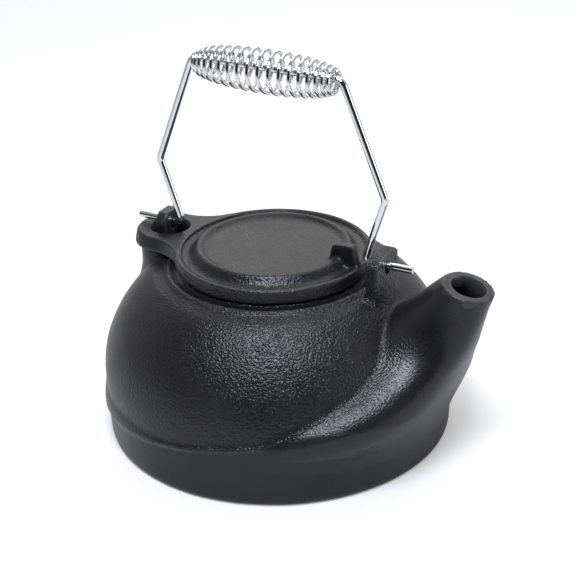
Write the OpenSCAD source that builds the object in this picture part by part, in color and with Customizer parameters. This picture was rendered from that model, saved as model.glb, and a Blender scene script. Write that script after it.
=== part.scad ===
// Cast iron kettle in four pieces: the kettle casting with its spout and two lugs, a lid that
// swivels on the rear lug, a wire bail hung in both lugs, and a loose coil grip on the bail.
// +Z is up and +X points towards the spout. The origin is the centre of the base, on the floor.
// All sizes are in millimetres.

/* [Bowl] */
// Radius of the base at the floor
base_r = 95; // [94:0.5:97]
// Height of the base band's top edge at the kettle's middle
band_h = 30.5; // [29:0.5:32]
// Rise of the band's top edge towards the spout, in degrees
band_rise = 8.5; // [6:0.5:9]
// Radius of the round bowl above the band
bowl_r = 96.5; // [96:0.5:97]
// Place of the bowl's and the lid's centre, along X from the base's centre
bowl_x = -1; // [-2:0.5:0]
// Wall thickness of the casting
wall = 5; // [4:0.5:6]
// Radius of the flat seat that the lid lies on
seat_r = 55; // [53:0.5:57]
// Height of the seat above the floor
seat_z = 96; // [95:0.25:96.25]
// Radius of the filling hole inside the seat
mouth_r = 43; // [38:1:46]

/* [Spout] */
// Distance of the spout's mouth centre from the kettle's axis
mouth_x = 114.5; // [112:0.5:116]
// Height of the spout's mouth centre
mouth_z = 105.5; // [103:0.5:107]
// Outer radius of the spout at its mouth
mouth_outer_r = 14; // [13:0.5:15]
// Radius of the pouring hole
pour_r = 9; // [7:0.5:10]
// Tilt of the mouth's rim, towards the pouring side
mouth_tilt = 15.5; // [8:0.5:20]

/* [Lugs] */
// Distance from the kettle's axis to the middle of each lug plate
lug_x = [-68.75, 64.75];
// Distance from the kettle's axis to the middle of the rear pedestal, where the lid swivels
swivel_x = -68; // [-68.5:0.5:-67.5]
// Thickness of both lug plates
lug_t = 6.5; // [5:0.5:6.5]
// Width of the front lug, at the spout
front_lug_w = 25; // [20:1:28]
// Width of the rear lug, which the lid swivels on
rear_lug_w = 16; // [12:1:17]
// Height of the top of the lugs
lug_top_z = 114; // [112:0.5:116]
// Diameter of the hole that holds the bail
lug_bore_d = 7; // [5:0.5:8]

/* [Lid] */
// Radius of the lid's outer lip
lid_r = 54; // [52:0.5:55]
// Thickness of the lid at its lip
lid_t = 8; // [7:0.5:8]
// Radius of the raised ring's crest
ring_r = 40; // [36:0.5:44]
// Outer radius of the tab round the rear lug
tab_r = 19.5; // [17:0.5:20]
// Radius of the hole in the tab
tab_hole_r = 11; // [10.5:0.5:12]
// Thickness of the thumb fin
fin_t = 4.5; // [3:0.5:6]

/* [Bail] */
// Diameter of the bail wire
bail_d = 4; // [3:0.25:4.5]
// Height of the lug holes, which the bail swings in
pivot_z = 108; // [108:0.25:109]
// Distance of the bail's middle from the kettle's axis, along X
bail_x = -2.5; // [-3:0.5:-2]
// Height of the straight top of the bail above the holes
bail_rise = 98.5; // [90:0.5:110]

/* [Grip] */
// Number of turns in the coil
coil_turns = 18; // [14:1:20]
// Wire diameter of the coil
coil_wire_d = 2; // [1.5:0.1:2]
// Outer diameter of the coil at its middle
coil_mid_d = 25; // [20:0.5:28]
// Outer diameter of the coil at its ends
coil_end_d = 12; // [12:0.5:14]
// Length of the coil along the bail
coil_len = 80; // [70:1:80]

/* [Hidden] */
$fn = 96;
bore_past = 1;

// Gap between the lid and the seat it lies on
lid_gap = 0.3;
lid_z = seat_z + lid_gap;
lip_z = lid_z + lid_t;

// The bowl's outline above the ledge is part of an ellipse round this height
belly_z = 36;
belly_rise = 77;
shoulder_z = 90;
band_flare = 3;
band_flare_z = 50;
bulge_z = 20;
bulge = 1;
floor_t = 6;
function bowl_at(z, r, rise) = r * sqrt(1 - pow((z - belly_z) / rise, 2));

// Spout sections: height, front point on X, half depth along X, half width along Y
sections = [
  [10, 95, 92, 92], [20, 98.5, 95, 95], [30, 102, 95, 95], [40, 105.5, 86, 86],
  [50, 109, 69, 69], [60, 112.5, 48, 47], [70, 116, 32, 30], [80, 119.5, 23.5, 21],
  [90, 123, 19, 16.5], [98, 125.5, 16.5, 14.5]
];
ring_points = 48;
first_tilted = 60;

// Lid heights, measured up from its lip
ring_up = 3;
floor_up = 1;
gutter_down = 2;
lip_w = 2.5;
fin_up = 11;
fin_top_x = [37, 49.5];
fin_foot_x = [34, 52.5];

// Bail corners on its right side, from its middle: outwards, and above the holes
elbow = [57.2, 0];
knee = [69.4, 36.5];
top_corner = [44.6, bail_rise];
tip_out = 85.3;
bend_swell = 0.1;

// The coil hangs on the rod by its end turns
coil_steps = 14;
coil_sides = 6;
hang_gap = 0.2;
coil_hang = (coil_end_d - bail_d) / 2 - coil_wire_d - hang_gap;

module skin(rings) {
  n = len(rings[0]);
  last = len(rings) - 1;
  side = [for (i = [0:last - 1], j = [0:n - 1]) let (k = (j + 1) % n)
    each [[i * n + j, (i + 1) * n + j, i * n + k], [(i + 1) * n + j, (i + 1) * n + k, i * n + k]]];
  first_cap = [for (j = [0:n - 1]) j];
  last_cap = [for (j = [n - 1:-1:0]) last * n + j];
  polyhedron([for (ring = rings) each ring], concat([first_cap], side, [last_cap]), 10);
}

// One spout section, thinned by the wall where the hollow inside is drawn
function section(z, x, a, b, tilt) = [for (i = [0:ring_points - 1]) let (t = 360 * i / ring_points)
  [x + a * cos(t) * cos(tilt), b * sin(t), z - a * cos(t) * sin(tilt)]];
function tilt_at(z) = mouth_tilt * max(0, (z - first_tilted) / (mouth_z - first_tilted));

module spout(thin, mouth_r, past) {
  slope = [sin(mouth_tilt), 0, cos(mouth_tilt)];
  top = section(mouth_z, mouth_x, mouth_r, mouth_r, mouth_tilt);
  rings = [for (s = sections) section(s[0], s[1] - s[2], s[2] - thin, s[3] - thin, tilt_at(s[0]))];
  skin(past > 0 ? concat(rings, [top, [for (p = top) p + past * slope]]) : concat(rings, [top]));
}

module band_outline() {
  edge = 2;
  polygon([[0, 0], [base_r - edge, 0], [base_r, edge], [base_r + band_flare, band_flare_z], [0, band_flare_z]]);
}

module bowl_outline() {
  belly = [for (z = [belly_z - 4:6:shoulder_z]) [bowl_at(z, bowl_r, belly_rise), z]];
  polygon(concat(
    [[0, floor_t], [bowl_r - 3, bulge_z - 10], [bowl_r - 0.5, bulge_z - 5], [bowl_r + bulge, bulge_z],
     [bowl_r + bulge / 2, bulge_z + 6]],
    belly,
    [[bowl_at(shoulder_z, bowl_r, belly_rise), shoulder_z], [seat_r + 4, seat_z - 2], [seat_r, seat_z - 0.5],
     [seat_r - 0.5, seat_z], [0, seat_z]]));
}

// Everything above the band's sloping top edge, or below it
module past_edge(above) {
  size = 3 * base_r;
  translate([0, 0, band_h]) rotate([0, -band_rise, 0])
    translate([-size / 2, -size / 2, above ? 0 : -size]) cube(size);
}

module hollow_outline() {
  inner_r = bowl_r - wall;
  inner_rise = belly_rise - wall;
  top_z = seat_z - wall;
  polygon(concat(
    [[0, floor_t], [inner_r - 6, floor_t], [inner_r - 1, floor_t + 6]],
    [for (z = [belly_z - 6:7:top_z - 5]) [bowl_at(z, inner_r, inner_rise), z]],
    [[mouth_r + 8, top_z - 1], [mouth_r, top_z + 0.5], [mouth_r, seat_z + bore_past], [0, seat_z + bore_past]]));
}

module lug(w, foot_z) {
  corner = 2.5;
  rotate([90, 0, 90]) translate([0, 0, -lug_t / 2]) linear_extrude(lug_t)
    polygon([[-w / 2, foot_z], [w / 2, foot_z], [w / 2, lug_top_z - corner], [w / 2 - corner, lug_top_z],
             [corner - w / 2, lug_top_z], [-w / 2, lug_top_z - corner]]);
}

module kettle_body() color([0.07, 0.07, 0.075]) {
  pedestal_r = tab_r - 2.5;
  difference() {
    union() {
      intersection() {
        rotate_extrude() band_outline();
        past_edge(false);
      }
      intersection() {
        translate([bowl_x, 0, 0]) rotate_extrude() bowl_outline();
        past_edge(true);
      }
      spout(0, mouth_outer_r, 0);
      translate([swivel_x, 0, shoulder_z - 25]) cylinder(h = seat_z - shoulder_z + 25, r = pedestal_r);
      translate([lug_x[0], 0, 0]) lug(rear_lug_w, shoulder_z);
      translate([lug_x[1], 0, 0]) lug(front_lug_w, shoulder_z - 10);
    }
    translate([bowl_x, 0, 0]) rotate_extrude() hollow_outline();
    spout(wall, pour_r, bore_past);
    for (x = lug_x)
      translate([x, 0, pivot_z]) rotate([0, 90, 0])
        cylinder(h = lug_t + 2 * bore_past, d = lug_bore_d, center = true);
  }
}

module lid() color([0.1, 0.1, 0.105]) {
  ring_z = lip_z + ring_up;
  floor_z = lip_z + floor_up;
  gutter_z = lip_z - gutter_down;
  recess_z = lid_z + 3;
  difference() {
    union() {
      translate([bowl_x, 0, 0]) rotate_extrude() polygon([
        [0, lid_z], [lid_r - 1, lid_z], [lid_r, lid_z + 1], [lid_r, lip_z - 0.8], [lid_r - 0.8, lip_z],
        [lid_r - lip_w, lip_z], [lid_r - lip_w - 1.5, gutter_z], [ring_r + 5, gutter_z],
        [ring_r + 2.5, gutter_z + 1.5], [ring_r + 1.5, ring_z - 1], [ring_r + 0.5, ring_z],
        [ring_r - 0.5, ring_z], [ring_r - 2, floor_z], [0, floor_z]]);
      intersection() {
        translate([swivel_x, 0, lid_z]) linear_extrude(lid_t) union() {
          circle(r = tab_r);
          polygon([[0, -tab_r], [tab_r + 8, -tab_r - 3], [tab_r + 8, tab_r + 3], [0, tab_r]]);
        }
        translate([0, 0, lid_z]) difference() {
          translate([swivel_x - tab_r - 1, -2 * tab_r, 0]) cube([2 * tab_r + 12, 4 * tab_r, lid_t]);
          translate([bowl_x, 0, 0]) cylinder(h = 3 * lid_t, r = lid_r - lip_w - 1, center = true);
        }
      }
      translate([0, fin_t / 2, gutter_z - 1]) rotate([90, 0, 0]) linear_extrude(fin_t)
        polygon([[fin_foot_x[0], 0], [fin_foot_x[1] - 2, 0], [fin_foot_x[1] - 2, 2], [fin_foot_x[1], 4],
                 [fin_top_x[1], fin_up + 2], [fin_top_x[0], fin_up + 2]]);
    }
    translate([swivel_x, 0, lid_z - bore_past]) cylinder(h = lid_t + 2 * bore_past, r = tab_hole_r);
    translate([bowl_x, 0, lid_z - bore_past]) cylinder(h = recess_z - lid_z + bore_past, r = mouth_r - 2);
  }
}

// A straight stretch of bail wire, a to b, in the bail's own X-Z plane
module stretch(a, b) {
  d = b - a;
  translate([a[0], 0, a[1]]) rotate([0, atan2(d[0], d[1]), 0]) cylinder(h = norm(d), d = bail_d);
}

module bail() color([0.8, 0.8, 0.82]) translate([bail_x, 0, pivot_z]) {
  right = [[tip_out, 0], elbow, knee, top_corner];
  left = [for (i = [len(right) - 1:-1:0]) [-right[i][0], right[i][1]]];
  path = concat(right, left);
  last = len(path) - 1;
  for (i = [0:last - 1]) stretch(path[i], path[i + 1]);
  for (i = [1:last - 1]) translate([path[i][0], 0, path[i][1]]) sphere(d = bail_d + bend_swell);
}

// Distance along the coil after t of its turns, from -1 to 1: close at the ends, open in the middle
function coil_along(t) = sin(90 * t) * 0.62 + t * 0.38;
function coil_radius(t) = (coil_end_d + (coil_mid_d - coil_end_d) * pow(cos(90 * t), 0.8) - coil_wire_d) / 2;

module grip_coil() color([0.8, 0.8, 0.82]) {
  count = coil_turns * coil_steps;
  rings = [for (i = [0:count]) let (
      t = 2 * i / count - 1, a = 360 * i / coil_steps, r = coil_radius(t), x = coil_along(t) * coil_len / 2)
    [for (j = [0:coil_sides - 1]) let (s = 360 * j / coil_sides, w = r + cos(s) * coil_wire_d / 2)
      [x + sin(s) * coil_wire_d / 2, -w * sin(a), w * cos(a)]]];
  translate([bail_x, 0, pivot_z + bail_rise - coil_hang]) skin(rings);
}

kettle_body();
lid();
bail();
grip_coil();
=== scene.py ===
import math

import bmesh
import bpy
import numpy as np
from mathutils import Matrix, Vector, noise


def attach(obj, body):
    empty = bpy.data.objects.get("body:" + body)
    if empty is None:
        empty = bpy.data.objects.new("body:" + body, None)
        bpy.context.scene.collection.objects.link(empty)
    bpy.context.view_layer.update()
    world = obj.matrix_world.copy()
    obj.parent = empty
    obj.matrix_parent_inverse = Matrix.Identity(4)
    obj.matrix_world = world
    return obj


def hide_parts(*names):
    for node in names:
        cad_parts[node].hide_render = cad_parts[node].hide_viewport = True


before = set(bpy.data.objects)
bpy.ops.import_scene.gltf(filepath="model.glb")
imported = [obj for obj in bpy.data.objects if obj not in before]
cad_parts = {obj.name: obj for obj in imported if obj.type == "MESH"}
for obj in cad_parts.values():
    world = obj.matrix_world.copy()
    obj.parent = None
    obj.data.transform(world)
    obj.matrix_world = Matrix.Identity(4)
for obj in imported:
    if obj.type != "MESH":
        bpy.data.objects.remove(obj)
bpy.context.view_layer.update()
mm = 0.001

# Camera: a long lens, a little above the lid
cameraSet = dict(lens=100, azimuth=29.98, elevation=26.37, roll=-1.67, distance=0.8793,
                 target=(0.00735, 0, 0.08136), sensor=36, clip=(0.05, 20))


def awayFrom(azimuth, elevation):
    # the direction towards something seen at this azimuth and elevation, in degrees
    az, el = math.radians(azimuth), math.radians(elevation)
    return Vector((math.sin(az) * math.cos(el), -math.cos(az) * math.cos(el), math.sin(el)))


def makeCamera(s):
    data = bpy.data.cameras.new("camera")
    data.lens, data.sensor_width = s["lens"], s["sensor"]
    data.clip_start, data.clip_end = s["clip"]
    camera = bpy.data.objects.new("camera", data)
    bpy.context.collection.objects.link(camera)
    back = awayFrom(s["azimuth"], s["elevation"])
    camera.location = Vector(s["target"]) + back * s["distance"]
    turn = back.to_track_quat("Z", "Y").to_matrix() @ Matrix.Rotation(math.radians(s["roll"]), 3, "Z")
    camera.rotation_euler = turn.to_euler()
    bpy.context.scene.camera = camera


makeCamera(cameraSet)
print("camera placed")


# Mesh helpers. Shapes are drawn in millimetres and scaled once, here.

def meshObject(name, verts, faces):
    mesh = bpy.data.meshes.new(name)
    mesh.from_pydata([Vector(v) * mm for v in verts], [], faces)
    bm = bmesh.new()
    bm.from_mesh(mesh)
    bmesh.ops.recalc_face_normals(bm, faces=bm.faces)
    bm.to_mesh(mesh)
    bm.free()
    obj = bpy.data.objects.new(name, mesh)
    bpy.context.collection.objects.link(obj)
    return obj


def loft(name, rings):
    n, last = len(rings[0]), len(rings) - 1
    faces = [(i * n + j, i * n + (j + 1) % n, (i + 1) * n + (j + 1) % n, (i + 1) * n + j)
             for i in range(last) for j in range(n)]
    faces += [tuple(range(n)), tuple(last * n + j for j in range(n))]
    return meshObject(name, [p for ring in rings for p in ring], faces)


def ringAt(radius, z, centre=(0, 0), sides=192):
    return [(centre[0] + radius * math.cos(a), centre[1] + radius * math.sin(a), z)
            for a in (2 * math.pi * i / sides for i in range(sides))]


def lathe(name, outline, centre=(0, 0), sides=192):
    return loft(name, [ringAt(max(r, 0.05), z, centre, sides) for r, z in outline])


def plate(name, outline, low, high):
    # an outline in Y and Z, pushed along X
    return loft(name, [[(x, y, z) for y, z in outline] for x in (low, high)])


def applyModifiers(obj):
    graph = bpy.context.evaluated_depsgraph_get()
    new = bpy.data.meshes.new_from_object(obj.evaluated_get(graph))
    obj.modifiers.clear()
    old, obj.data = obj.data, new
    bpy.data.meshes.remove(old)


def joinAll(name, parts):
    bm = bmesh.new()
    for part in parts:
        bm.from_mesh(part.data)
        bpy.data.objects.remove(part)
    mesh = bpy.data.meshes.new(name)
    bm.to_mesh(mesh)
    bm.free()
    obj = bpy.data.objects.new(name, mesh)
    bpy.context.collection.objects.link(obj)
    return obj


def voxelSkin(obj, size):
    mod = obj.modifiers.new("skin", "REMESH")
    mod.mode, mod.voxel_size = "VOXEL", size * mm
    applyModifiers(obj)


def cutAway(obj, cutters):
    cutter = joinAll("cutter", cutters) if len(cutters) > 1 else cutters[0]
    mod = obj.modifiers.new("cut", "BOOLEAN")
    mod.operation, mod.object, mod.solver = "DIFFERENCE", cutter, "MANIFOLD"
    applyModifiers(obj)
    bpy.data.objects.remove(cutter)


def sliceOff(obj, point, normal):
    # keeps what lies behind the plane, and closes the cut
    bm = bmesh.new()
    bm.from_mesh(obj.data)
    bmesh.ops.bisect_plane(bm, geom=bm.verts[:] + bm.edges[:] + bm.faces[:],
                           plane_co=Vector(point) * mm, plane_no=normal, clear_outer=True)
    bmesh.ops.holes_fill(bm, edges=[e for e in bm.edges if e.is_boundary], sides=0)
    bmesh.ops.recalc_face_normals(bm, faces=bm.faces)
    bm.to_mesh(obj.data)
    bm.free()
    return obj


def soften(obj, weightOf, rounds, factor=0.5, grades=20):
    # smooths only where weightOf(x, y, z), in millimetres, says so; the weights go in a few grades
    group = obj.vertex_groups.new(name="soft")
    levels = {}
    for v in obj.data.vertices:
        level = round(grades * min(weightOf(*(v.co / mm)), 1))
        if level > 0:
            levels.setdefault(level, []).append(v.index)
    for level, points in levels.items():
        group.add(points, level / grades, "REPLACE")
    mod = obj.modifiers.new("soft", "SMOOTH")
    mod.factor, mod.iterations, mod.vertex_group = factor, rounds, "soft"
    applyModifiers(obj)
    obj.vertex_groups.clear()


def bothNear(a, b, reach):
    # 1 where two surfaces meet, falling to 0 at the reach
    return max(0, 1 - (abs(a) + abs(b)) / reach)


def storeValues(obj, name, values):
    obj.data.attributes.new(name, "FLOAT", "POINT").data.foreach_set("value", values)


def markEdges(obj, rounds=6):
    # stores how far each point stands proud of its smoothed surroundings
    mesh = obj.data
    count = len(mesh.vertices)
    co = np.empty(count * 3)
    mesh.vertices.foreach_get("co", co)
    co = co.reshape(-1, 3)
    ends = np.empty(len(mesh.edges) * 2, int)
    mesh.edges.foreach_get("vertices", ends)
    a, b = ends.reshape(-1, 2).T
    meets = np.bincount(a, minlength=count) + np.bincount(b, minlength=count)
    links = np.maximum(meets, 1)[:, None]
    soft = co.copy()
    for _ in range(rounds):
        total = np.zeros_like(soft)
        np.add.at(total, a, soft[b])
        np.add.at(total, b, soft[a])
        soft = total / links
    normals = np.empty(count * 3)
    mesh.vertices.foreach_get("normal", normals)
    proud = ((co - soft) * normals.reshape(-1, 3)).sum(1) / mm
    storeValues(obj, "edge", proud.astype(np.float32))


def unevenSkin(obj, span, depth):
    # a slow waviness, as a sand mould leaves
    mesh = obj.data
    count = len(mesh.vertices)
    co, out = np.empty(count * 3), np.empty(count * 3)
    mesh.vertices.foreach_get("co", co)
    mesh.vertices.foreach_get("normal", out)
    co = co.reshape(-1, 3)
    push = np.array([noise.noise(Vector(p) / (span * mm)) for p in co]) * depth * mm
    mesh.vertices.foreach_set("co", (co + out.reshape(-1, 3) * push[:, None]).ravel())
    mesh.update()


def roundShading(obj, angle=40):
    obj.data.polygons.foreach_set("use_smooth", [True] * len(obj.data.polygons))
    obj.data.set_sharp_from_angle(angle=math.radians(angle))


# Kettle casting: band, bowl, spout, pedestal and two lugs in one piece

kettleSet = dict(
    baseR=96, baseEdge=2.5, bandFlare=0.04, bandTop=50, ledgeZ=30.5, ledgeRise=8.5, bead=0.9, beadDown=0.7,
    bowlR=96.5, bowlX=-1, bellyZ=36, bellyRise=77,
    # radius and height: the bowl's foot inside the band, and the shoulder with the groove and bead of the seat
    foot=[(0, 6), (90, 6), (94.5, 11), (96.6, 15), (97.6, 18.5), (97.8, 22), (97.4, 26)],
    shoulder=[(66.5, 91), (64, 92), (61, 93.2), (59.8, 94), (59, 94.8), (58, 95.1), (57, 94.8), (56, 94.5),
              (53.6, 94.5), (52.5, 95)],
    seatR=52.5, seatZ=96, seatEdge=0.4,
    wall=5, floor=6,
    # the inside: radius and height over its floor, then radius and height up to the filling mouth
    hollowFoot=[(84, 0), (89, 4)],
    hollowNeck=[(54, 89), (50, 90.5), (46, 91.3), (43, 91.8), (43, 100), (0, 100)],
    # middle on X, thickness, width, lowest height
    rearLug=(-68.75, 6.5, 16, 88), frontLug=(64.5, 7, 25, 78), lugTop=114, lugCorner=2.5,
    swivelX=-68, pedestalR=17, pedestalFoot=20, holeZ=106.4, holeTall=4, holeWide=3.1,
    waveSpan=22, waveDepth=0.25, bandGrit=0.12, bowlGrit=(0.25, 0.75), spoutGrit=0.75, lugGrit=1.7,
    # the mouth-rim value paints a highlight along the near rim of the mouth, given as extra edge wear
    mouthWearAndHighlight=0.9, voxel=1.0)

spoutSet = dict(
    # height, front on X, half depth, half width
    sections=[(10, 95, 92, 92), (20, 98.5, 95, 95), (30, 102, 95, 95), (40, 105.8, 87.5, 87.5),
              (50, 109.6, 71.5, 71.5), (60, 113.2, 50, 49.5), (70, 116.8, 34.5, 33), (80, 120.2, 25.5, 23.5),
              (90, 123.3, 20, 18), (98, 125.7, 16.8, 15.2)],
    mouth=(114.5, 105.5), outerR=14, holeR=9, tilt=15.5, tiltFrom=60, sides=192, steps=5,
    squareness=0.45, squareFrom=28, squareTo=100,
    channelEnd=6,  # the last rows, where the channel turns into the round pouring hole
    # height over the mouth, and how much wider than the hole
    flare=((-6, -0.3), (-0.9, 0), (0.3, 0.9), (1.5, 1.8)))


def within(value):
    return min(max(value, 0), 1)


def bowlRadius(z, thin=0, s=kettleSet):
    rise = (z - s["bellyZ"]) / (s["bellyRise"] - thin)
    return (s["bowlR"] - thin) * math.sqrt(max(0, 1 - rise ** 2))


def bowlDistance(x, y, z, s=kettleSet):
    # rough distance out from the bowl's skin
    r = math.hypot(x - s["bowlX"], y)
    rise = (z - s["bellyZ"]) / s["bellyRise"]
    reach = math.sqrt((r / s["bowlR"]) ** 2 + rise ** 2)
    return (reach - 1) * s["bowlR"] * 0.9


def smoothRows(rows, steps):
    # Catmull-Rom curve through every row of numbers
    out = []
    for i in range(len(rows) - 1):
        p = [rows[max(i - 1, 0)], rows[i], rows[i + 1], rows[min(i + 2, len(rows) - 1)]]
        for k in range(steps):
            t = k / steps
            out.append(tuple(0.5 * (2 * b + (c - a) * t + (2 * a - 5 * b + 4 * c - d) * t * t
                                    + (3 * b - a - 3 * c + d) * t ** 3) for a, b, c, d in zip(*p)))
    return out + [tuple(rows[-1])]


def spoutRows(s=spoutSet):
    x, z = s["mouth"]
    return smoothRows(s["sections"] + [(z, x + s["outerR"], s["outerR"], s["outerR"])], s["steps"])


def spoutTilt(z, s=spoutSet):
    return math.radians(s["tilt"]) * max(0, (z - s["tiltFrom"]) / (s["mouth"][1] - s["tiltFrom"]))


def spoutPower(z, s=spoutSet):
    # the front half is squarer than an ellipse, so a soft ridge runs up each flank
    rise = within((z - s["squareFrom"]) / 16) * within((s["squareTo"] - z) / 28)
    return 2 + s["squareness"] * rise


def spoutRing(row, thin=0, lift=0, s=spoutSet):
    # one ring of the spout, whose front sinks towards the mouth; thin draws it in, lift raises it
    z, front, a, b = row
    tilt, x = spoutTilt(z), front - a
    a, b = a - thin, b - thin
    power = 2 / spoutPower(z) if thin == 0 else 1
    ring = []
    for i in range(s["sides"]):
        t = 2 * math.pi * i / s["sides"]
        c, q = math.cos(t), math.sin(t)
        if c > 0:
            c, q = c ** power, math.copysign(abs(q) ** power, q)
        ring.append((x + a * c * math.cos(tilt) + lift * math.sin(tilt), b * q,
                     z - a * c * math.sin(tilt) + lift * math.cos(tilt)))
    return ring


def spoutDistance(x, y, z, rows=spoutRows()):
    row = min(rows, key=lambda r: abs(r[0] - z))
    _, front, a, b = row
    n = spoutPower(z) if x > front - a else 2
    return ((abs((x - front + a) / a) ** n + abs(y / b) ** n) ** (1 / n) - 1) * min(a, b)


def ledgeHeight(x, s=kettleSet):
    return s["ledgeZ"] + math.tan(math.radians(s["ledgeRise"])) * x


def ledgeBead(s=kettleSet, sides=200, around=10):
    # a thin flash line along the top of the band, where the two mould halves meet
    rings = []
    for i in range(sides):
        t = 2 * math.pi * i / sides
        z = ledgeHeight((s["baseR"] + s["bandFlare"] * s["ledgeZ"]) * math.cos(t))
        middle = s["baseR"] + s["bandFlare"] * z + 0.1
        ring = []
        for k in range(around):
            q = 2 * math.pi * k / around
            r = middle + s["bead"] * math.cos(q)
            ring.append((r * math.cos(t), r * math.sin(t), z - s["beadDown"] + s["bead"] * math.sin(q)))
        rings.append(ring)
    n = around
    faces = [(i * n + j, i * n + (j + 1) % n, (i + 1) % sides * n + (j + 1) % n, (i + 1) % sides * n + j)
             for i in range(sides) for j in range(n)]
    return meshObject("ledgeBead", [p for ring in rings for p in ring], faces)


def makeLug(name, lug, s=kettleSet):
    x, thick, wide, low = lug
    w, c, top = wide / 2, s["lugCorner"], s["lugTop"]
    outline = [(-w, low), (w, low), (w, top - c), (w - c, top), (c - w, top), (-w, top - c)]
    return plate(name, outline, x - thick / 2, x + thick / 2)


def markGrit(obj, s=kettleSet, p=spoutSet):
    # how coarse the sand skin is: rough on the bowl and the front lug, fine on the band and the spout's sides;
    # the near rim of the mouth also takes the worn colour, as a painted highlight
    lugX, _, lugWide, _ = s["frontLug"]
    mouthX, mouthZ = p["mouth"]
    fine, more = s["bowlGrit"]
    edge = obj.data.attributes["edge"].data
    grit = []
    for v in obj.data.vertices:
        x, y, z = v.co / mm
        bowlGap = bowlDistance(x, y, z)
        offRim = abs(math.hypot(x - mouthX, y) - p["outerR"] + 1)
        nearRim = offRim < 0.9 and z > mouthZ - 5 and y < -10.5
        onSpout = x > 20 and bowlGap > 1.2
        onLug = x > 56 and abs(y) < lugWide / 2 + 3 and abs(x - lugX) < 9 and z > 84
        # painted highlight: the near rim of the mouth is pushed up the edge mask, so it takes the paler worn
        # colour
        if nearRim:
            edge[v.index].value += s["mouthWearAndHighlight"]
        if onLug:
            g = s["lugGrit"]
        elif onSpout:
            g = s["bandGrit"] + s["spoutGrit"] * max(0, 1 - bowlGap / 16) * within((z - 38) / 14)
        elif z < ledgeHeight(x):
            g = s["bandGrit"]
        else:
            g = fine + more * within((x + 70) / 90)
        grit.append(g)
    storeValues(obj, "grit", grit)


def solidParts(s=kettleSet):
    # closed solids that overlap, before they are skinned as one casting
    base, edge = s["baseR"], s["baseEdge"]
    band = [(0, 0), (base - edge, 0), (base - edge * 0.3, edge * 0.3), (base, edge)]
    band += [(base + s["bandFlare"] * z, z) for z in range(6, s["bandTop"] + 1, 4)] + [(0, s["bandTop"])]
    seatR, seatZ, corner = s["seatR"], s["seatZ"], s["seatEdge"]
    bowl = s["foot"] + [(bowlRadius(z), z) for z in range(30, 89, 2)] + s["shoulder"]
    bowl += [(seatR - corner, seatZ - corner), (seatR - 1, seatZ), (0, seatZ)]
    wide, narrow = s["pedestalFoot"], s["pedestalR"]
    pedestal = [(0, 55), (wide, 55), (wide, 70), (narrow, 84), (narrow, seatZ), (0, seatZ)]
    rise = math.radians(s["ledgeRise"])
    slope = Vector((-math.sin(rise), 0, math.cos(rise)))
    ledge = (0, 0, s["ledgeZ"])
    return [sliceOff(lathe("band", band), ledge, slope),
            sliceOff(lathe("bowl", bowl, (s["bowlX"], 0)), ledge, -slope),
            ledgeBead(),
            loft("spout", [spoutRing(row) for row in spoutRows()]),
            lathe("pedestal", pedestal, (s["swivelX"], 0), 96),
            makeLug("rearLug", s["rearLug"]),
            makeLug("frontLug", s["frontLug"])]


def creases(x, y, z, s=kettleSet):
    # where the spout, the pedestal and the front lug run into the bowl
    bowlGap = bowlDistance(x, y, z)
    lugX, lugThick, lugWide, _ = s["frontLug"]
    w = 0
    if x > 0 and 24 < z < 100:
        w = bothNear(bowlGap, spoutDistance(x, y, z), 3.5 + 0.07 * max(0, z - 40))
    if x < -40:
        w = max(w, 1.3 * bothNear(bowlGap, math.hypot(x - s["swivelX"], y) - s["pedestalR"], 8))
    if x > 50 and abs(y) < 20:
        w = max(w, bothNear(bowlGap, max(abs(y) - lugWide / 2, abs(x - lugX) - lugThick / 2), 5))
    return w * 1.5


def openSkin(x, y, z):
    # everything but the ledge, the seat and the lugs, which stay crisp
    return 0.0 if abs(z - ledgeHeight(x)) < 4 or z > 96.5 and x < 70 else 0.5


def makeHollow(s=kettleSet):
    outline = [(0, s["floor"])] + [(r, s["floor"] + up) for r, up in s["hollowFoot"]]
    outline += [(bowlRadius(z, s["wall"]), z) for z in range(24, 86, 4)] + s["hollowNeck"]
    return lathe("hollow", outline, (s["bowlX"], 0), 144)


def makeChannel(s=kettleSet, p=spoutSet):
    x, z = p["mouth"]
    hole = (z, x + p["holeR"], p["holeR"], p["holeR"])
    rings = [spoutRing(row, s["wall"]) for row in spoutRows()[:-p["channelEnd"]]]
    return loft("channel", rings + [spoutRing(hole, lift=up, thin=-wider) for up, wider in p["flare"]])


def makeBore(lug, s=kettleSet, sides=32):
    turns = (2 * math.pi * i / sides for i in range(sides))
    oval = [(s["holeWide"] * math.cos(a), s["holeZ"] + s["holeTall"] * math.sin(a)) for a in turns]
    return plate("bore", oval, lug[0] - lug[1], lug[0] + lug[1])


def makeKettle(s=kettleSet):
    kettle = joinAll("kettleCasting", solidParts())
    voxelSkin(kettle, s["voxel"])
    soften(kettle, creases, 30)
    soften(kettle, openSkin, 3)
    unevenSkin(kettle, s["waveSpan"], s["waveDepth"])
    cutAway(kettle, [makeHollow()])
    cutAway(kettle, [makeChannel()])
    cutAway(kettle, [makeBore(s["rearLug"]), makeBore(s["frontLug"])])
    markEdges(kettle)
    markGrit(kettle)
    roundShading(kettle, 50)
    return kettle


kettle = makeKettle()
print("kettle casting:", len(kettle.data.polygons), "faces")


# Lid: a disc with a rim, a raised ring and a fin, and a tab round the rear lug

lidSet = dict(low=96.3, thick=8, radius=54, lipW=2.6, gutter=2.1, ringR=40.3, ringUp=3, floorUp=1,
              tabX=-68, tabR=18.7, tabFlare=1.2, tabRound=0.9, holeR=11, fillet=28, underR=41, underUp=3,
              finTop=(36.5, 48.7), finFoot=(34, 52.3), finUp=11, finThick=4.4,
              waveSpan=18, waveDepth=0.15, grit=0.7, voxel=0.65)


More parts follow.
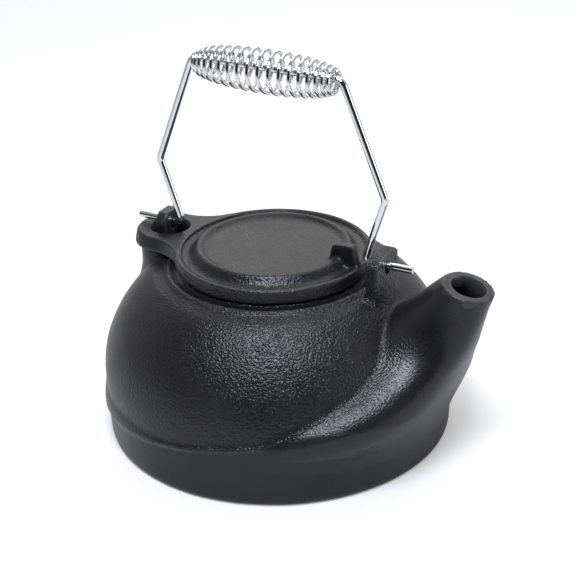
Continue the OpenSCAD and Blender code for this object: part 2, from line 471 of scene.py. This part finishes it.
def tabRing(grow, z, base, s=lidSet, centreX=kettleSet["bowlX"], sideSteps=16, tabSteps=48):
    # the tab's circle, eased into the disc by a hollow curve on each side; base gives the inner corners
    tabR, f = s["tabR"] + grow, s["fillet"]
    reach, d = tabR + f, centreX - s["tabX"]
    turn = math.acos((reach ** 2 + d * d - (s["radius"] + f) ** 2) / (2 * reach * d))
    hubX, hubY = s["tabX"] + reach * math.cos(turn), reach * math.sin(turn)
    start, end = turn - math.pi, math.atan2(-hubY, centreX - hubX)
    side = [(hubX + f * math.cos(a), hubY + f * math.sin(a)) for a in
            (start + (end - start) * k / sideSteps for k in range(sideSteps + 1))]
    tab = [(s["tabX"] + tabR * math.cos(a), tabR * math.sin(a)) for a in
           (turn + 2 * (math.pi - turn) * k / tabSteps for k in range(tabSteps + 1))]
    cornerX, cornerY = side[-1][0] + base, side[-1][1]
    outline = [(cornerX, cornerY)] + side[::-1] + tab + [(x, -y) for x, y in side] + [(cornerX, -cornerY)]
    return [(x, y, z) for x, y in outline]


def makeTab(low, lip, s=lidSet, centreX=kettleSet["bowlX"], base=8):
    flare = s["tabFlare"]
    tab = loft("tab", [tabRing(flare, low, base), tabRing(flare, low + 1.5, base),
                       tabRing(0, lip - 1, base), tabRing(-s["tabRound"], lip, base)])
    inner = s["radius"] - s["lipW"] - 1
    cutAway(tab, [lathe("gutterCut", [(inner, low - 5), (inner, lip + 5)], (centreX, 0))])
    return tab


def makeFin(gutter, lip, s=lidSet):
    (back, front), (footBack, footFront) = s["finTop"], s["finFoot"]
    top, half = lip + s["finUp"], s["finThick"] / 2
    outline = [(footBack, gutter - 1), (footFront - 1, gutter - 1), (footFront - 0.4, gutter + 1.5),
               (front + 1.2, top - 3.2), (front + 0.5, top - 0.8), (front - 1, top), (back + 1, top - 0.4),
               (back - 0.4, top - 1.8), (footBack + 0.3, lip + 3)]
    return loft("fin", [[(x, y, z) for x, z in outline] for y in (-half, half)])


def makeLid(s=lidSet, centreX=kettleSet["bowlX"]):
    low, r, lip = s["low"], s["radius"], s["low"] + s["thick"]
    gutter, ringTop, floor = lip - s["gutter"], lip + s["ringUp"], lip + s["floorUp"]
    q, inLip = s["ringR"], r - s["lipW"]
    disc = [(0, low), (r - 1, low), (r - 0.2, low + 0.8), (r, low + 2), (r, lip - 1), (r - 0.4, lip - 0.3),
            (r - 1.2, lip), (inLip + 0.4, lip - 0.1), (inLip - 0.5, lip - 0.9), (inLip - 1.8, gutter + 0.2),
            (inLip - 3.2, gutter), (q + 6.5, gutter + 0.1), (q + 4.6, gutter + 1), (q + 3, gutter + 3),
            (q + 1.8, ringTop - 0.5), (q + 0.6, ringTop), (q - 0.6, ringTop - 0.1), (q - 2, ringTop - 1.1),
            (q - 3.2, floor + 0.25), (q - 4.6, floor), (0, floor)]
    tab, fin = makeTab(low, lip), makeFin(gutter, lip)
    lid = joinAll("lidCasting", [lathe("disc", disc, (centreX, 0)), tab, fin])
    voxelSkin(lid, s["voxel"])

    def finRoot(x, y, z):
        if x > 30 and abs(y) < 9:
            offFloor = min(abs(z - gutter), abs(z - floor))
            return bothNear(abs(y) - s["finThick"] / 2, offFloor * 0.7, 4) * 1.6
        return 0

    soften(lid, finRoot, 30)
    soften(lid, lambda x, y, z: 0.45, 2)
    unevenSkin(lid, s["waveSpan"], s["waveDepth"])
    hole, under = s["holeR"], s["underR"]
    tabHole = [(hole + 1.2, low - 1), (hole + 0.2, low + 1), (hole, low + 3), (hole, lip - 1.2),
               (hole + 0.5, lip - 0.2), (hole + 1.6, lip + 1)]
    recess = [(under + 1, low - 1), (under, low + 1), (under - 1, low + s["underUp"])]
    cutAway(lid, [lathe("tabHole", tabHole, (s["tabX"], 0), 96)])
    cutAway(lid, [lathe("under", recess, (centreX, 0))])
    markEdges(lid)
    storeValues(lid, "grit", [s["grit"]] * len(lid.data.vertices))
    roundShading(lid, 50)
    return lid


lid = makeLid()
print("lid casting:", len(lid.data.polygons), "faces")


# Wire pieces

def sweep(name, path, radius, sides, chamfer=0):
    # a round wire along the path, with flat ends
    path = [Vector(p) for p in path]
    last = len(path) - 1
    ahead = [(path[min(i + 1, last)] - path[max(i - 1, 0)]).normalized() for i in range(last + 1)]
    side = ahead[0].orthogonal().normalized()
    rings = []
    for i, p in enumerate(path):
        if i:
            side = (ahead[i - 1].rotation_difference(ahead[i]) @ side)
            side = (side - ahead[i] * side.dot(ahead[i])).normalized()
        other = ahead[i].cross(side)
        rings.append((p, side.copy(), other, ahead[i]))

    def circle(entry, r, shift=0):
        p, u, v, w = entry
        return [p + w * shift + (u * math.cos(a) + v * math.sin(a)) * r for a in
                (2 * math.pi * k / sides for k in range(sides))]

    first, final = rings[0], rings[-1]
    body = [circle(entry, radius) for entry in rings[1:-1]]
    body = ([circle(first, radius - chamfer), circle(first, radius, chamfer)] + body
            + [circle(final, radius, -chamfer), circle(final, radius - chamfer)])
    return loft(name, body)


bailSet = dict(wire=4, x=-2.5, z=108, tip=85.3, elbow=(57, 0), knee=(69.4, 36.5), top=(44.6, 98.5),
               bend=(3, 6, 6), steps=10, sides=28, chamfer=0.35)


def roundedPath(corners, bends, steps):
    # one bend radius for each corner up to the middle of the path; the other half mirrors it
    corners = [Vector(c) for c in corners]
    out = [corners[0]]
    for a, b, c, radius in zip(corners, corners[1:], corners[2:], bends + bends[::-1]):
        u, v = (a - b).normalized(), (c - b).normalized()
        half = u.angle(v) / 2
        back = radius / math.tan(half)
        hub = b + (u + v).normalized() * radius / math.sin(half)
        start, end = b + u * back - hub, b + v * back - hub
        turn = start.angle(end)
        axis = start.cross(end).normalized()
        out += [hub + Matrix.Rotation(turn * k / steps, 3, axis) @ start for k in range(steps + 1)]
    return out + [corners[-1]]


def makeBail(s=bailSet):
    right = [(s["tip"], 0), s["elbow"], s["knee"], s["top"]]
    corners = [(s["x"] + x, 0, s["z"] + z) for x, z in right]
    corners += [(s["x"] - x, 0, s["z"] + z) for x, z in reversed(right)]
    path = roundedPath(corners, s["bend"], s["steps"])
    bail = sweep("bailWire", path, s["wire"] / 2, s["sides"], s["chamfer"])
    roundShading(bail, 35)
    return bail


bail = makeBail()
print("bail bent")

coilSet = dict(wire=2, turns=18, length=83, midR=10.9, endR=5.1, hang=1.95, steps=32, sides=12,
               tight=0.62, fullness=0.75, chamfer=0.2)


def makeCoil(s=coilSet, b=bailSet):
    # a barrel: the turns get smaller and closer towards both ends
    count = s["turns"] * s["steps"]
    path = []
    for i in range(count + 1):
        t = 2 * i / count - 1
        along = math.sin(math.pi / 2 * t) * s["tight"] + t * (1 - s["tight"])
        r = s["endR"] + (s["midR"] - s["endR"]) * math.cos(math.pi / 2 * t) ** s["fullness"]
        turn = 2 * math.pi * i / s["steps"]
        path.append((b["x"] + along * s["length"] / 2, -r * math.sin(turn),
                     b["z"] + b["top"][1] - s["hang"] + r * math.cos(turn)))
    coil = sweep("coilGrip", path, s["wire"] / 2, s["sides"], s["chamfer"])
    roundShading(coil, 35)
    return coil


coil = makeCoil()
print("coil wound")

for piece, node, body in ((kettle, "kettle_body", "kettle"), (lid, "lid", "lid"), (bail, "bail", "bail"),
                          (coil, "grip_coil", "grip")):
    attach(piece, body)
    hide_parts(node)


# Shader groups

def addNode(tree, kind, links=(), **values):
    # a value is a property of the node, or else the input of that name
    n = tree.nodes.new(kind)
    for key, value in values.items():
        if hasattr(n, key):
            setattr(n, key, value)
        else:
            n.inputs[key.replace("_", " ")].default_value = value
    for socket, source in dict(links).items():
        tree.links.new(source, n.inputs[socket])
    return n


def newGroup(name, ins, outs):
    tree = bpy.data.node_groups.new(name, "ShaderNodeTree")
    for direction, sockets in (("INPUT", ins), ("OUTPUT", outs)):
        for label, kind in sockets:
            tree.interface.new_socket(name=label, in_out=direction, socket_type="NodeSocket" + kind)
    return tree, tree.nodes.new("NodeGroupInput"), tree.nodes.new("NodeGroupOutput")


def mathNode(tree, operation, a, b=None, clamp=False):
    n = tree.nodes.new("ShaderNodeMath")
    n.operation, n.use_clamp = operation, clamp
    for i, value in enumerate((a, b)):
        if value is None:
            continue
        if isinstance(value, (int, float)):
            n.inputs[i].default_value = value
        else:
            tree.links.new(value, n.inputs[i])
    return n.outputs[0]


def spread(tree, value, low, high, outLow=0.0, outHigh=1.0):
    # stretches low..high to outLow..outHigh
    n = tree.nodes.new("ShaderNodeMapRange")
    tree.links.new(value, n.inputs["Value"])
    for key, number in (("From Min", low), ("From Max", high), ("To Min", outLow), ("To Max", outHigh)):
        n.inputs[key].default_value = number
    return n.outputs["Result"]


def noiseFac(tree, vector, scale, detail, roughness):
    return addNode(tree, "ShaderNodeTexNoise", {"Vector": vector}, Scale=scale, Detail=detail,
                   Roughness=roughness).outputs["Fac"]


# scales are in cells per metre
grainSet = dict(fine=1080, pebble=760, lumps=330, patches=26, wearAndHighlight=180, cloud=70)


def castGrainGroup(s=grainSet):
    # sand grain: fine noise and pebbles, with lumps, and slow patches of tone
    tree, gin, gout = newGroup("castGrain", [("Vector", "Vector"), ("Grain", "Float"), ("Coarse", "Float")],
                               [("Height", "Float"), ("Peaks", "Float"), ("Tone", "Float")])
    where, amount = gin.outputs["Vector"], gin.outputs["Grain"]
    fine = noiseFac(tree, where, s["fine"], 1, 0.5)
    pebble = addNode(tree, "ShaderNodeTexVoronoi", {"Vector": where}, feature="SMOOTH_F1",
                     Scale=s["pebble"], Smoothness=0.3)
    lumps = noiseFac(tree, where, s["lumps"], 2, 0.5)
    patches = noiseFac(tree, where, s["patches"], 3, 0.55)
    domes = spread(tree, pebble.outputs["Distance"], 0.0, 0.9, 1.0, 0.0)
    grain = mathNode(tree, "MULTIPLY", fine, amount)
    stones = mathNode(tree, "MULTIPLY", domes, amount)
    coarse = mathNode(tree, "MULTIPLY", lumps, gin.outputs["Coarse"])
    height = mathNode(tree, "ADD", mathNode(tree, "ADD", grain, stones), coarse)
    tree.links.new(height, gout.inputs["Height"])
    tree.links.new(spread(tree, fine, 0.52, 0.7), gout.inputs["Peaks"])
    tree.links.new(patches, gout.inputs["Tone"])
    return tree


def edgeWearAndHighlightGroup(s=grainSet):
    # proud edges, broken up in patches; the near rim of the mouth comes in here too, as a painted highlight
    tree, gin, gout = newGroup("edgeWearAndHighlight", [("Edge", "Float"), ("Vector", "Vector"), ("Reach", "Float")],
                               [("Mask", "Float")])
    patch = spread(tree, noiseFac(tree, gin.outputs["Vector"], s["wearAndHighlight"], 3, 0.6), 0.3, 0.7, 0.35, 1.0)
    raised = mathNode(tree, "DIVIDE", gin.outputs["Edge"], gin.outputs["Reach"])
    tree.links.new(mathNode(tree, "MULTIPLY", raised, patch, clamp=True), gout.inputs["Mask"])
    return tree


def dustGroup(s=grainSet):
    # a thin cloudy film on whatever faces up
    tree, gin, gout = newGroup("dust", [("Vector", "Vector"), ("Normal", "Vector"), ("Amount", "Float")],
                               [("Mask", "Float")])
    cloud = spread(tree, noiseFac(tree, gin.outputs["Vector"], s["cloud"], 5, 0.65), 0.35, 0.75)
    axes = addNode(tree, "ShaderNodeSeparateXYZ", {"Vector": gin.outputs["Normal"]})
    film = mathNode(tree, "MULTIPLY", spread(tree, axes.outputs["Z"], 0.2, 1.0), cloud)
    tree.links.new(mathNode(tree, "MULTIPLY", film, gin.outputs["Amount"]), gout.inputs["Mask"])
    return tree


castGrain, edgeWearAndHighlight, dust = castGrainGroup(), edgeWearAndHighlightGroup(), dustGroup()


def placeGroup(tree, group, links, **values):
    n = tree.nodes.new("ShaderNodeGroup")
    n.node_tree = group
    for socket, source in links.items():
        tree.links.new(source, n.inputs[socket])
    for socket, value in values.items():
        n.inputs[socket].default_value = value
    return n


def mixColour(tree, factor, a, b):
    n = tree.nodes.new("ShaderNodeMix")
    n.data_type = "RGBA"
    tree.links.new(factor, n.inputs["Factor"])
    # the node has an A, a B and a Result for each kind of data, so the colour ones are picked by type
    ends = [i for i in n.inputs if i.type == "RGBA"]
    for socket, value in zip(ends, (a, b)):
        if isinstance(value, tuple):
            socket.default_value = (*value, 1)
        else:
            tree.links.new(value, socket)
    return next(o for o in n.outputs if o.type == "RGBA")


def newMaterial(name):
    material = bpy.data.materials.new(name)
    material.use_nodes = True
    tree = material.node_tree
    shader = next(n for n in tree.nodes if n.type == "BSDF_PRINCIPLED")
    return material, tree, shader


# the worn colour lightens proud edges, and also paints the highlight on the near rim of the mouth
ironSet = dict(deep=(0.0045, 0.0045, 0.0053), pale=(0.0085, 0.0085, 0.0095), wornAndHighlight=(0.035, 0.035, 0.038),
               dusty=(0.022, 0.022, 0.023), toneSpan=(0.35, 0.65), roughSpan=(0.3, 0.7),
               rough=0.35, smoother=0.05, rougher=0.06, peakShine=0.08, specular=0.4, relief=0.0005)


def castIron(name, grain, coarse, bump, reach, dusting, s=ironSet):
    material, tree, shader = newMaterial(name)
    where = addNode(tree, "ShaderNodeTexCoord").outputs["Object"]
    facing = addNode(tree, "ShaderNodeNewGeometry").outputs["Normal"]
    edge = addNode(tree, "ShaderNodeAttribute", attribute_name="edge").outputs["Fac"]
    skin = placeGroup(tree, castGrain, {"Vector": where}, Grain=grain, Coarse=coarse)
    wornAndHighlight = placeGroup(tree, edgeWearAndHighlight, {"Edge": edge, "Vector": where}, Reach=reach).outputs["Mask"]
    powder = placeGroup(tree, dust, {"Vector": where, "Normal": facing}, Amount=dusting).outputs["Mask"]
    tone = spread(tree, skin.outputs["Tone"], *s["toneSpan"])
    colour = mixColour(tree, tone, s["deep"], s["pale"])
    colour = mixColour(tree, powder, colour, s["dusty"])
    # worn edges, and the painted highlight on the near mouth rim, take the paler worn colour
    colour = mixColour(tree, wornAndHighlight, colour, s["wornAndHighlight"])
    tree.links.new(colour, shader.inputs["Base Color"])
    rough = spread(tree, skin.outputs["Tone"], *s["roughSpan"], s["rough"] - s["smoother"],
                   s["rough"] + s["rougher"])
    shine = mathNode(tree, "MULTIPLY", skin.outputs["Peaks"], s["peakShine"])
    rough = mathNode(tree, "SUBTRACT", rough, shine)
    tree.links.new(rough, shader.inputs["Roughness"])
    grit = addNode(tree, "ShaderNodeAttribute", attribute_name="grit").outputs["Fac"]
    height = mathNode(tree, "MULTIPLY", skin.outputs["Height"], grit)
    relief = addNode(tree, "ShaderNodeBump", {"Height": height}, Strength=bump, Distance=s["relief"])
    tree.links.new(relief.outputs["Normal"], shader.inputs["Normal"])
    shader.inputs["Specular IOR Level"].default_value = s["specular"]
    return material


chromeSet = dict(tint=(0.82, 0.83, 0.85), film=0.9, filmSpan=(0.35, 0.65), grain=0.2, coarse=0.3,
                 rough=0.07, smoother=0.02, rougher=0.07, bump=0.06, relief=0.0002)


def chromedWire(name, s=chromeSet):
    material, tree, shader = newMaterial(name)
    where = addNode(tree, "ShaderNodeTexCoord").outputs["Object"]
    skin = placeGroup(tree, castGrain, {"Vector": where}, Grain=s["grain"], Coarse=s["coarse"])
    film = spread(tree, skin.outputs["Tone"], *s["filmSpan"])
    colour = mixColour(tree, film, s["tint"], tuple(c * s["film"] for c in s["tint"]))
    rough = spread(tree, skin.outputs["Peaks"], 0, 1, s["rough"] - s["smoother"], s["rough"] + s["rougher"])
    relief = addNode(tree, "ShaderNodeBump", {"Height": skin.outputs["Height"]}, Strength=s["bump"],
                     Distance=s["relief"])
    tree.links.new(colour, shader.inputs["Base Color"])
    tree.links.new(rough, shader.inputs["Roughness"])
    tree.links.new(relief.outputs["Normal"], shader.inputs["Normal"])
    shader.inputs["Metallic"].default_value = 1
    return material


def paint(obj, material):
    obj.data.materials.clear()
    obj.data.materials.append(material)


paint(kettle, castIron("blackCastIron", grain=0.6, coarse=0.2, bump=1.0, reach=0.45, dusting=0.15))
paint(lid, castIron("lidCastIron", grain=0.6, coarse=0.3, bump=0.8, reach=0.35, dusting=0.3))
paint(bail, chromedWire("bailChrome"))
paint(coil, chromedWire("coilChrome"))
print("finishes painted")


# Floor and lights

floorSet = dict(half=3000, down=0.2, colour=(0.66, 0.66, 0.66), rough=0.6, glow=0.3)


def makeFloor(s=floorSet):
    paper, tree, shader = newMaterial("floorPaper")
    shader.inputs["Base Color"].default_value = (*s["colour"], 1)
    shader.inputs["Roughness"].default_value = s["rough"]
    # the paper glows a little to the camera alone, so it stays pale without lighting the kettle
    shader.inputs["Emission Color"].default_value = (1, 1, 1, 1)
    seen = addNode(tree, "ShaderNodeLightPath").outputs["Is Camera Ray"]
    tree.links.new(mathNode(tree, "MULTIPLY", seen, s["glow"]), shader.inputs["Emission Strength"])
    h, z = s["half"], -s["down"]
    floor = meshObject("floor", [(-h, -h, z), (h, -h, z), (h, h, z), (-h, h, z)], [(0, 1, 2, 3)])
    paint(floor, paper)


makeFloor()

lightSet = dict(
    seen=0.985, sky=0.42, dark=0.02, darkSide=(0.42, -0.88, 0.2), darkFrom=0.05, darkTo=0.6, aim=(0, 0, 0.06),
    # azimuth, elevation, distance, width, height, watts, colour
    lamps=[("frontBox", 20, 61, 1.2, 0.5, 0.46, 17, (0.87, 0.89, 1.0)),
           ("topBox", 190, 66, 1.5, 1.3, 0.9, 6, (1, 1, 1)),
           ("backBox", 205, 30, 1.5, 1.8, 0.8, 5.3, (1, 1, 1)),
           ("rightBox", 108, 8, 1.4, 0.8, 0.9, 4.5, (1, 1, 1))])


def makeLights(s):
    world = bpy.data.worlds.new("studio")
    bpy.context.scene.world = world
    world.use_nodes = True
    tree, back = world.node_tree, world.node_tree.nodes["Background"]
    # the room is dark behind the camera, and white to the camera itself
    towards = addNode(tree, "ShaderNodeTexCoord").outputs["Generated"]
    facing = addNode(tree, "ShaderNodeVectorMath", {0: towards}, operation="DOT_PRODUCT")
    facing.inputs[1].default_value = Vector(s["darkSide"]).normalized()
    room = spread(tree, facing.outputs["Value"], s["darkFrom"], s["darkTo"], s["sky"], s["dark"])
    seen = addNode(tree, "ShaderNodeLightPath").outputs["Is Camera Ray"]
    room = mathNode(tree, "MULTIPLY", room, mathNode(tree, "SUBTRACT", 1.0, seen))
    room = mathNode(tree, "ADD", room, mathNode(tree, "MULTIPLY", seen, s["seen"]))
    tree.links.new(room, back.inputs["Strength"])
    back.inputs["Color"].default_value = (1, 1, 1, 1)
    for name, azimuth, elevation, distance, wide, tall, watts, colour in s["lamps"]:
        data = bpy.data.lights.new(name, "AREA")
        data.shape, data.size, data.size_y, data.energy = "RECTANGLE", wide, tall, watts
        data.color = colour
        lamp = bpy.data.objects.new(name, data)
        bpy.context.collection.objects.link(lamp)
        away = awayFrom(azimuth, elevation)
        lamp.location = Vector(s["aim"]) + away * distance
        lamp.rotation_euler = away.to_track_quat("Z", "Y").to_euler()


makeLights(lightSet)
bpy.context.scene.view_settings.view_transform = "Standard"
print("studio lit")
